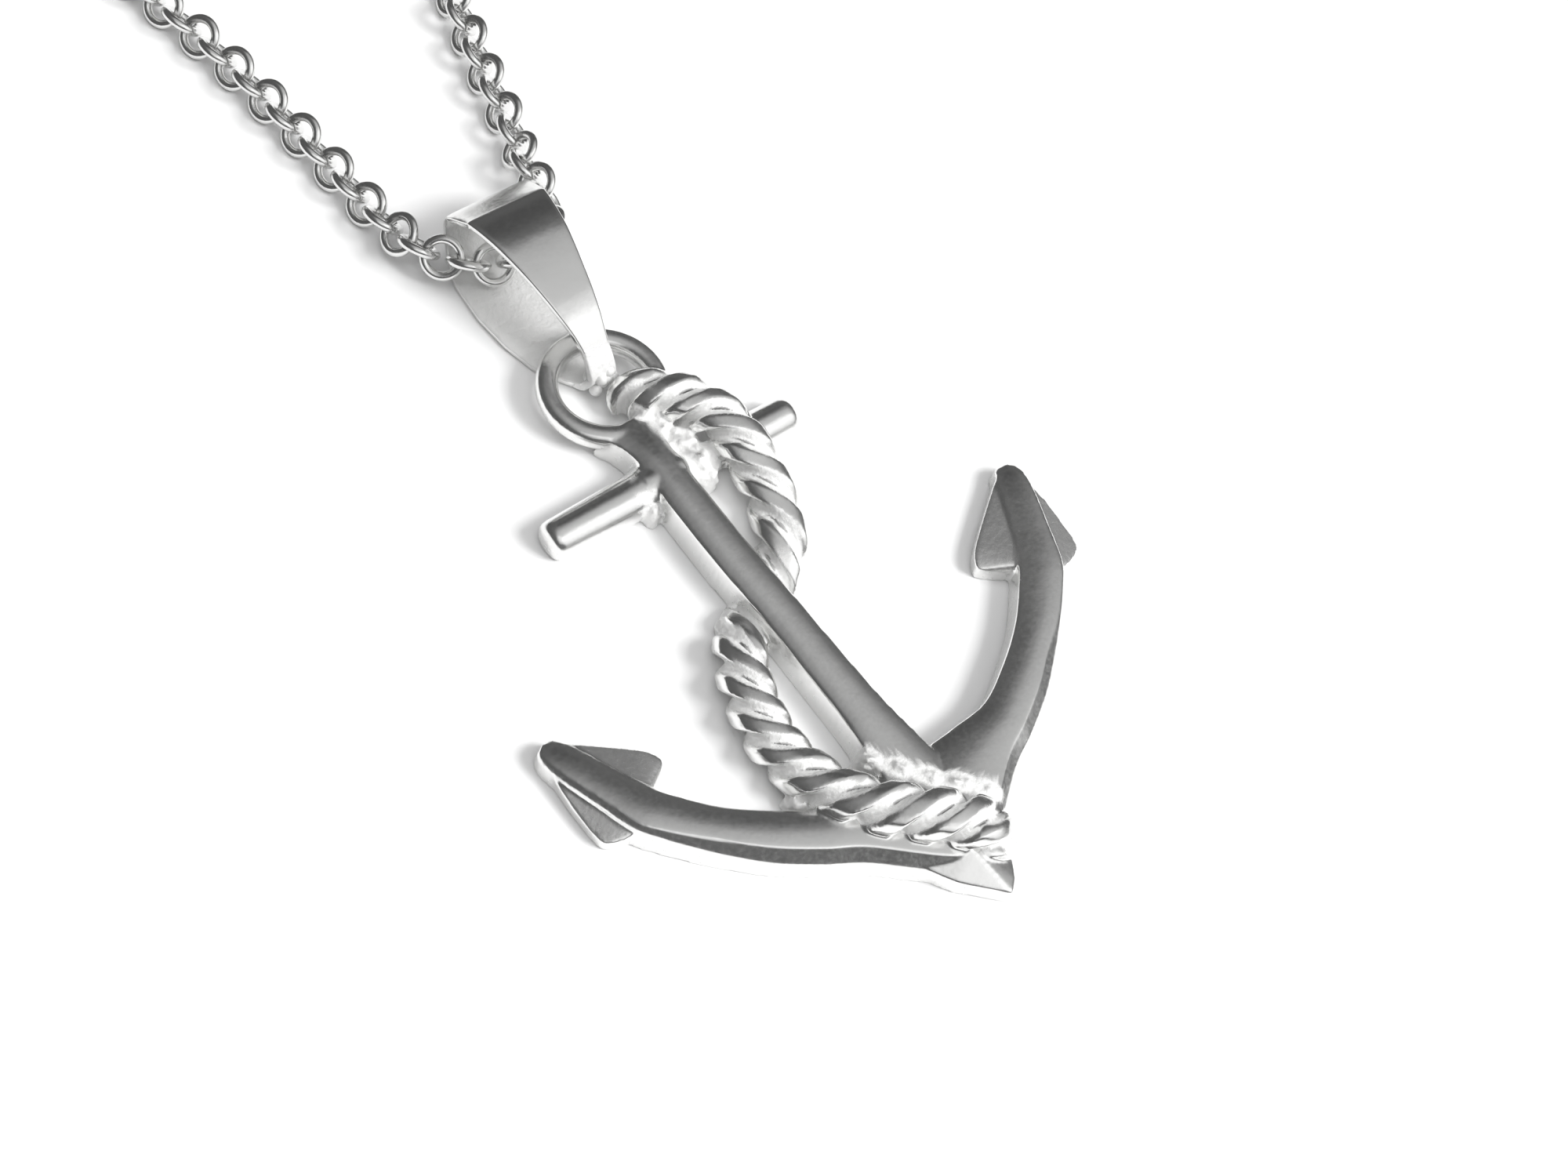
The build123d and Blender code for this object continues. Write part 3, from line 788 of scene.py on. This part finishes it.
FRONT_HALF_WIDTH = (  # along, half width of the front plate
    (-0.90, 0.39),
    (0.81, 0.58),
    (1.71, 0.80),
    (2.70, 1.00),
    (3.78, 1.20),
    (5.40, 1.52),
    (7.47, 1.85),
    (9.90, 2.146),
)
BACK_HALF_WIDTH = (  # along, half width of the back plate
    (-0.90, 0.47),
    (0.81, 0.80),
    (2.25, 1.74),
    (3.78, 2.16),
    (5.40, 2.35),
    (7.29, 2.256),
    (8.19, 2.03),
    (9.90, 1.55),
)
SOLDER = (  # lumps of solder at the strap's tip: x, y, z, radius
    (-0.30, 20.72, 1.02, 0.32),
    (0.08, 20.50, 0.90, 0.40),
    (0.42, 20.74, 1.02, 0.32),
    (0.20, 20.38, 1.08, 0.28),
    (0.50, 20.34, 0.92, 0.28),
    (-0.16, 20.28, 1.34, 0.26),
    (0.30, 20.42, 1.42, 0.24),
    (-0.30, 20.30, 0.66, 0.28),
)


def bail_strap():
    """A thin rounded section carried round the bail's side outline; its width follows the front
    plate above and the back plate below. It is rough inside and round the soldered tip."""
    rows = np.array(BAIL_SIDE)
    rows = np.concatenate([rows[-2:], rows, rows[:3]])
    loop = smooth_rows(rows, BAIL_STEPS * (len(rows) - 1) + 1)[2 * BAIL_STEPS:-3 * BAIL_STEPS]
    ahead = np.roll(loop, -1, 0) - np.roll(loop, 1, 0)
    ahead /= np.linalg.norm(ahead, axis=1)[:, None]
    outside = np.stack([-ahead[:, 1], ahead[:, 0]], -1)
    middle = loop - outside * STRAP / 2
    front = np.interp(loop[:, 0], *np.array(FRONT_HALF_WIDTH).T)
    back = np.interp(loop[:, 0], *np.array(BACK_HALF_WIDTH).T)
    half = back + (front - back) * smooth_step(loop[:, 1], *BAIL_NARROWING)
    around = circle(STRAP_SECTION)
    wide = squared(np.cos(around), STRAP_SQUARING[0])
    thick = squared(np.sin(around), STRAP_SQUARING[1])
    x = half[:, None] * wide[None, :]
    y = BAIL_TIP_Y + middle[:, None, 0] + outside[:, None, 0] * thick * STRAP / 2
    z = np.maximum(middle[:, None, 1] + outside[:, None, 1] * thick * STRAP / 2, 0)
    inside = np.broadcast_to((thick < -STRAP_INSIDE) * 1.0, x.shape)
    rough = np.maximum(inside, smooth_step(BAIL_TIP_Y + ROUGH_TIP - y, 0, ROUGH_FADE)).ravel()
    strap = skin(np.stack([x, y, z], -1), loop=True)
    points, faces = join([strap] + [ball(*row) for row in SOLDER])
    rough = np.concatenate([rough, np.ones(len(points) - len(rough))])
    thing = mesh_object("bail_strap", points, faces, {"cast_skin": rough})
    outward(thing)
    return thing


# Chain and clasp

LEFT_ROUTE = (  # from the last link that shows on the left, the hidden way round to the clasp
    (-10.88, 60.73), (-14.5, 67.87), (-28.0, 86.87), (-44.0, 112.87), (-55.0, 140.87),
    (-52.0, 169.87), (-38.0, 192.87), (-18.0, 202.87), (-4.45, 202.87),
)
RIGHT_ROUTE = (  # the same on the right
    (9.5, 50.57), (11.8, 56.87), (23.0, 76.87), (39.0, 102.87), (53.0, 128.87),
    (56.0, 157.87), (47.0, 182.87), (32.0, 196.87), (17.0, 202.87), (3.45, 202.87),
)
LINK_COUNT = 59
FRONT_LINK_SIDES = (32, 14)  # sides of a ring and of its wire
BACK_LINK_SIDES = (12, 6)
LINK_RADIUS = 0.77
WIRE_RADIUS = 0.195
LINK_PITCH = 1.074
TABLE_LIFT = 0.743  # height of a tilted link's middle
LOOK_AHEAD = 0.2  # how far before and behind a link its direction is taken
CLASP_MIDDLE = (-0.5, 202.87)
CLASP_RADIUS = 2.45
CLASP_TUBE = 0.55
EYE_REACH = 3.55  # from the clasp's middle to the middle of an eye
EYE_RADIUS = 0.78
EYE_TUBE = 0.20
CLASP_SIDES = (64, 20)  # sides of a ring and of its tube


def links(centre, first, second, sides):
    """Round wire rings, one per centre, each in the plane of its two directions."""
    upright = np.cross(first, second)
    turn, around = circle(sides[0])[:, None], circle(sides[1])[None, :]
    reach = LINK_RADIUS + WIRE_RADIUS * np.cos(around)
    amounts = (reach * np.cos(turn), reach * np.sin(turn), WIRE_RADIUS * np.sin(around) + 0 * turn)
    points = centre[:, None, None, :]
    for amount, direction in zip(amounts, (first, second, upright)):
        points = points + amount[None, :, :, None] * direction[:, None, None, :]
    one = np.array(skin(points[0], loop=True)[1])
    faces = one[None] + (np.arange(len(centre)) * turn.size * around.size)[:, None, None]
    return points.reshape(-1, 3), faces.reshape(-1, 4).tolist()


def front_links():
    """The links that the photo shows, each where its solid is: the middle of the solid's points,
    and the two directions in which they spread most. Also the sides to which the last links on
    the left and on the right lean, by the sign of two numbers."""
    solids = bpy.data.objects["chain_front"]
    points = corners_of(solids).reshape(LINK_COUNT, -1, 3)
    centre = points.mean(axis=1)
    spread = np.linalg.svd(points - centre[:, None], full_matrices=False)[2]
    thing = mesh_object("front_links", *links(centre, spread[:, 0], spread[:, 1], FRONT_LINK_SIDES))
    outward(thing)
    tilts = []
    for axis, route in ((spread[0, 2], LEFT_ROUTE), (spread[-1, 2], RIGHT_ROUTE)):
        along = np.subtract(route[1], route[0])
        tilts.append(axis[2] * (axis[1] * along[0] - axis[0] * along[1]))
    return thing, tilts


def route_points(corners, height):
    """Close points along the NURBS spline that has a route's points as its control points."""
    curve = bpy.data.curves.new("route", "CURVE")
    curve.dimensions = "3D"
    curve.resolution_u = 32
    spline = curve.splines.new("NURBS")
    spline.points.add(len(corners) - 1)
    flat = np.array([(x, y, height, 1.0 / METRES) for x, y in corners]) * METRES
    spline.points.foreach_set("co", flat.ravel())
    spline.order_u = 3
    spline.use_endpoint_u = True
    thing = bpy.data.objects.new("route", curve)
    mesh = bpy.data.meshes.new_from_object(thing)
    flat = np.empty(len(mesh.vertices) * 3, np.float32)
    mesh.vertices.foreach_get("co", flat)
    bpy.data.meshes.remove(mesh)
    bpy.data.objects.remove(thing)
    bpy.data.curves.remove(curve)
    return flat.reshape(-1, 3).astype(float) / METRES


def back_links(tilts):
    """Plainer links along the hidden way round to the clasp, tilted 45 degrees to alternate sides,
    the first one the other way than the last link in front."""
    parts = []
    for corners, tilt in zip((LEFT_ROUTE, RIGHT_ROUTE), tilts):
        line = route_points(corners, TABLE_LIFT)
        length = length_along(line)[-1]
        count = round(length / LINK_PITCH)
        places = (np.arange(count) + 0.5) * length / count
        along = points_at(line, places + LOOK_AHEAD) - points_at(line, places - LOOK_AHEAD)
        along /= np.linalg.norm(along, axis=1)[:, None]
        aside = np.stack([-along[:, 1], along[:, 0], np.zeros(count)], -1)
        lean = np.where(np.arange(count) % 2, -1.0, 1.0) * np.sign(tilt)
        across = (aside + np.array((0, 0, 1.0)) * lean[:, None]) * math.sqrt(0.5)
        parts.append(links(points_at(line, places), along, across, BACK_LINK_SIDES))
    thing = mesh_object("back_links", *join(parts))
    outward(thing)
    return thing


def turned_ring(x, y, z, radius, tube):
    """A round tube turned about an upright axis."""
    turn, around = circle(CLASP_SIDES[0])[:, None], circle(CLASP_SIDES[1])[None, :]
    reach = radius + tube * np.cos(around)
    height = z + tube * np.sin(around) + 0 * turn
    return skin(np.stack([x + reach * np.cos(turn), y + reach * np.sin(turn), height], -1), loop=True)


def clasp_ring():
    """A plain ring that lies on the table, with a small eye at each side as high as the links."""
    x, y = CLASP_MIDDLE
    parts = [turned_ring(x, y, CLASP_TUBE, CLASP_RADIUS, CLASP_TUBE)]
    for side in (-1, 1):
        parts.append(turned_ring(x + side * EYE_REACH, y, TABLE_LIFT, EYE_RADIUS, EYE_TUBE))
    thing = mesh_object("clasp_ring", *join(parts))
    outward(thing)
    return thing


# Materials

RIPPLE_WIDTH = 1 / 0.7  # unevenness that a polishing wheel leaves
MARK_WIDTH = 1 / 6  # wheel marks, drawn as coarse as they need to show
PIT_WIDTH = 1 / 4.5  # pits of the cast skin, drawn coarse for the same reason
RELIEF = 0.06  # depth of the unevenness and of the pits
RIPPLE_STRENGTH = 0.25
MARK_ROUGHNESS = 1.6  # how many times rougher the wheel marks are
WIRE_PITTING = 0.08  # share of the pits' depth, as the next one
POLISHED_PITTING = 0.05
PICKLED_METALLIC = 0.22  # how much of a mirror the white skin still is


def linear(code):
    """An sRGB hex colour as linear red, green, blue and alpha."""
    parts = [int(code[k:k + 2], 16) / 255 for k in (1, 3, 5)]
    return [c / 12.92 if c <= 0.04045 else ((c + 0.055) / 1.055) ** 2.4 for c in parts] + [1.0]


def node(tree, kind, inputs=None, **settings):
    """Adds a node, sets it up, and joins or fills its inputs."""
    made = tree.nodes.new(kind)
    for key, value in settings.items():
        setattr(made, key, value)
    for key, value in (inputs or {}).items():
        if isinstance(value, bpy.types.NodeSocket):
            tree.links.new(value, made.inputs[key])
        else:
            made.inputs[key].default_value = value
    return made


def silver(name, colour, smooth, rough=None):
    """Polished sterling silver: bright and neutral, with the faint ripple and fine wheel marks
    that polishing leaves, which break up the edges of what it mirrors. With rough, the piece's
    cast_skin says where it was never polished: there it has that roughness, and is pitted, and
    white and matt as pickled silver is."""
    material = bpy.data.materials.new(name)
    material.use_nodes = True
    tree = material.node_tree
    shader = tree.nodes["Principled BSDF"]
    shader.inputs["Base Color"].default_value = linear(colour)
    shader.inputs["Metallic"].default_value = 1.0
    place = node(tree, "ShaderNodeTexCoord").outputs["Object"]
    ripple, marks, pits = (
        node(tree, "ShaderNodeTexNoise", {
            "Vector": place, "Scale": 1 / (width * METRES), "Detail": detail}).outputs["Fac"]
        for width, detail in ((RIPPLE_WIDTH, 2.0), (MARK_WIDTH, 3.0), (PIT_WIDTH, 5.0)))
    roughness = node(tree, "ShaderNodeMapRange", {
        "Value": marks, "From Min": 0.35, "From Max": 0.7,
        "To Min": smooth, "To Max": smooth * MARK_ROUGHNESS}).outputs["Result"]
    pitting = WIRE_PITTING
    if rough is not None:
        where = node(tree, "ShaderNodeAttribute", attribute_name="cast_skin").outputs["Fac"]
        roughness, pitting, metallic = (
            node(tree, "ShaderNodeMapRange", {
                "Value": where, "To Min": polished, "To Max": pickled}).outputs["Result"]
            for polished, pickled in ((roughness, rough), (POLISHED_PITTING, 1.0), (1.0, PICKLED_METALLIC)))
        tree.links.new(metallic, shader.inputs["Metallic"])
    soft = node(tree, "ShaderNodeBump", {
        "Height": ripple, "Strength": RIPPLE_STRENGTH, "Distance": RELIEF * METRES}).outputs["Normal"]
    fine = node(tree, "ShaderNodeBump", {
        "Height": pits, "Strength": pitting, "Distance": RELIEF * METRES, "Normal": soft}).outputs["Normal"]
    tree.links.new(roughness, shader.inputs["Roughness"])
    tree.links.new(fine, shader.inputs["Normal"])
    return material


def dress(thing, material, replaced):
    """Gives a finished piece its silver, hangs it on the root body, and hides the solid that it stands for.
    """
    thing.data.materials.clear()
    thing.data.materials.append(material)
    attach(thing, "root")
    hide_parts(replaced)


casting = anchor_casting()
strap = bail_strap()
near_links, tilts = front_links()
far_links = back_links(tilts)
clasp = clasp_ring()

dress(casting, silver("cast_silver", "#EEEEED", 0.17, 0.36), "anchor")
dress(strap, silver("strap_silver", "#EAEAE9", 0.13, 0.45), "bail")
wire = silver("wire_silver", "#E6E6E5", 0.14)
dress(near_links, wire, "chain_front")
dress(far_links, wire, "chain_back")
dress(clasp, wire, "clasp")


# Table and light

TABLE_REACH = 3  # metres
LIT_PLACE = (2, 12, 0)  # what the lamps face
SKY_SIDE = (0.302, -0.352, 0.886)  # where the studio is brightest
SKY_RAMP = (  # cosine of the angle from SKY_SIDE, brightness
    (0.00, 0.10),
    (0.30, 0.11),
    (0.52, 0.13),
    (0.62, 0.18),
    (0.71, 0.26),
    (0.78, 0.42),
    (0.86, 0.50),
    (1.00, 0.66),
)
SKY_WINDOW = ((0.43, -0.70, 0.57), 0.80, 0.96)  # middle, cosines at its rim and well inside
SKY_SIDE_WINDOW = ((-0.28, -0.52, 0.81), 0.86, 0.98)
SKY_CARD = ((0.43, 0.53, 0.73), 0.955, 0.99)
WINDOW_LIGHT = 0.7  # brightness that it adds
SIDE_WINDOW_LIGHT = 0.45
CARD_SHARE = 0.6  # brightness that is left


def table_top():
    """A plain white table, large enough for every view."""
    mesh = bpy.data.meshes.new("table_top")
    corners = [(x * TABLE_REACH, y * TABLE_REACH, 0) for x, y in ((-1, -1), (1, -1), (1, 1), (-1, 1))]
    mesh.from_pydata(corners, [], [(0, 1, 2, 3)])
    table = bpy.data.objects.new("table_top", mesh)
    bpy.context.scene.collection.objects.link(table)
    material = bpy.data.materials.new("white_card")
    material.use_nodes = True
    shader = material.node_tree.nodes["Principled BSDF"]
    shader.inputs["Base Color"].default_value = linear("#F7F7F7")
    shader.inputs["Roughness"].default_value = 0.9
    mesh.materials.append(material)


def soft_light(name, direction, distance, size, power):
    """A square of light that faces the anchor from a direction and isn't mirrored in the silver.
    Its distance and size are in metres."""
    lamp = bpy.data.lights.new(name, "AREA")
    lamp.shape = "RECTANGLE"
    lamp.size, lamp.size_y, lamp.energy = size, size, power
    thing = bpy.data.objects.new(name, lamp)
    bpy.context.scene.collection.objects.link(thing)
    away = Vector(direction).normalized()
    thing.location = Vector(LIT_PLACE) * METRES + away * distance
    thing.rotation_euler = away.to_track_quat("Z", "Y").to_euler()
    thing.visible_glossy = False
    thing.visible_camera = False


def sky():
    """A studio that is pale above the lamp's side and dark low down all round, with a large soft
    window toward the lamp, a weaker one beside it, and one darker card behind the bail."""
    world = bpy.data.worlds.new("studio")
    world.use_nodes = True
    tree = world.node_tree
    ground = tree.nodes["Background"]
    direction = node(tree, "ShaderNodeTexCoord").outputs["Generated"]

    def toward(place):
        near = node(tree, "ShaderNodeVectorMath", {0: direction, 1: place}, operation="DOT_PRODUCT")
        return near.outputs["Value"]

    def patch(middle, rim, inside, outer, inner, **settings):
        values = {"From Min": rim, "From Max": inside, "To Min": outer, "To Max": inner}
        made = node(tree, "ShaderNodeMapRange", {"Value": toward(middle), **values}, **settings)
        return made.outputs["Result"]

    ramp = node(tree, "ShaderNodeValToRGB", {"Fac": toward(SKY_SIDE)})
    stops = ramp.color_ramp.elements
    for place, value in SKY_RAMP[1:-1]:
        stops.new(place)
    for stop, (place, value) in zip(stops, SKY_RAMP):
        stop.color = (value, value, value, 1)
    windows = node(tree, "ShaderNodeMath", {
        0: patch(*SKY_WINDOW, 0.0, WINDOW_LIGHT, interpolation_type="SMOOTHSTEP"),
        1: patch(*SKY_SIDE_WINDOW, 0.0, SIDE_WINDOW_LIGHT, interpolation_type="SMOOTHSTEP")})
    light = node(tree, "ShaderNodeMath", {
        0: ramp.outputs["Color"], 1: patch(*SKY_CARD, 1.0, CARD_SHARE), 2: windows.outputs["Value"]},
        operation="MULTIPLY_ADD")
    tree.links.new(light.outputs["Value"], ground.inputs["Strength"])
    ground.inputs["Color"].default_value = (1, 1, 1, 1)
    bpy.context.scene.world = world


table_top()
sky()
soft_light("key_lamp", (0.43, -0.60, 0.70), distance=0.5, size=0.20, power=2.4)
soft_light("top_fill", (-0.1, 0.1, 1.0), distance=0.7, size=0.6, power=1.6)

view = bpy.context.scene.view_settings
view.view_transform = "Standard"
view.look = "None"
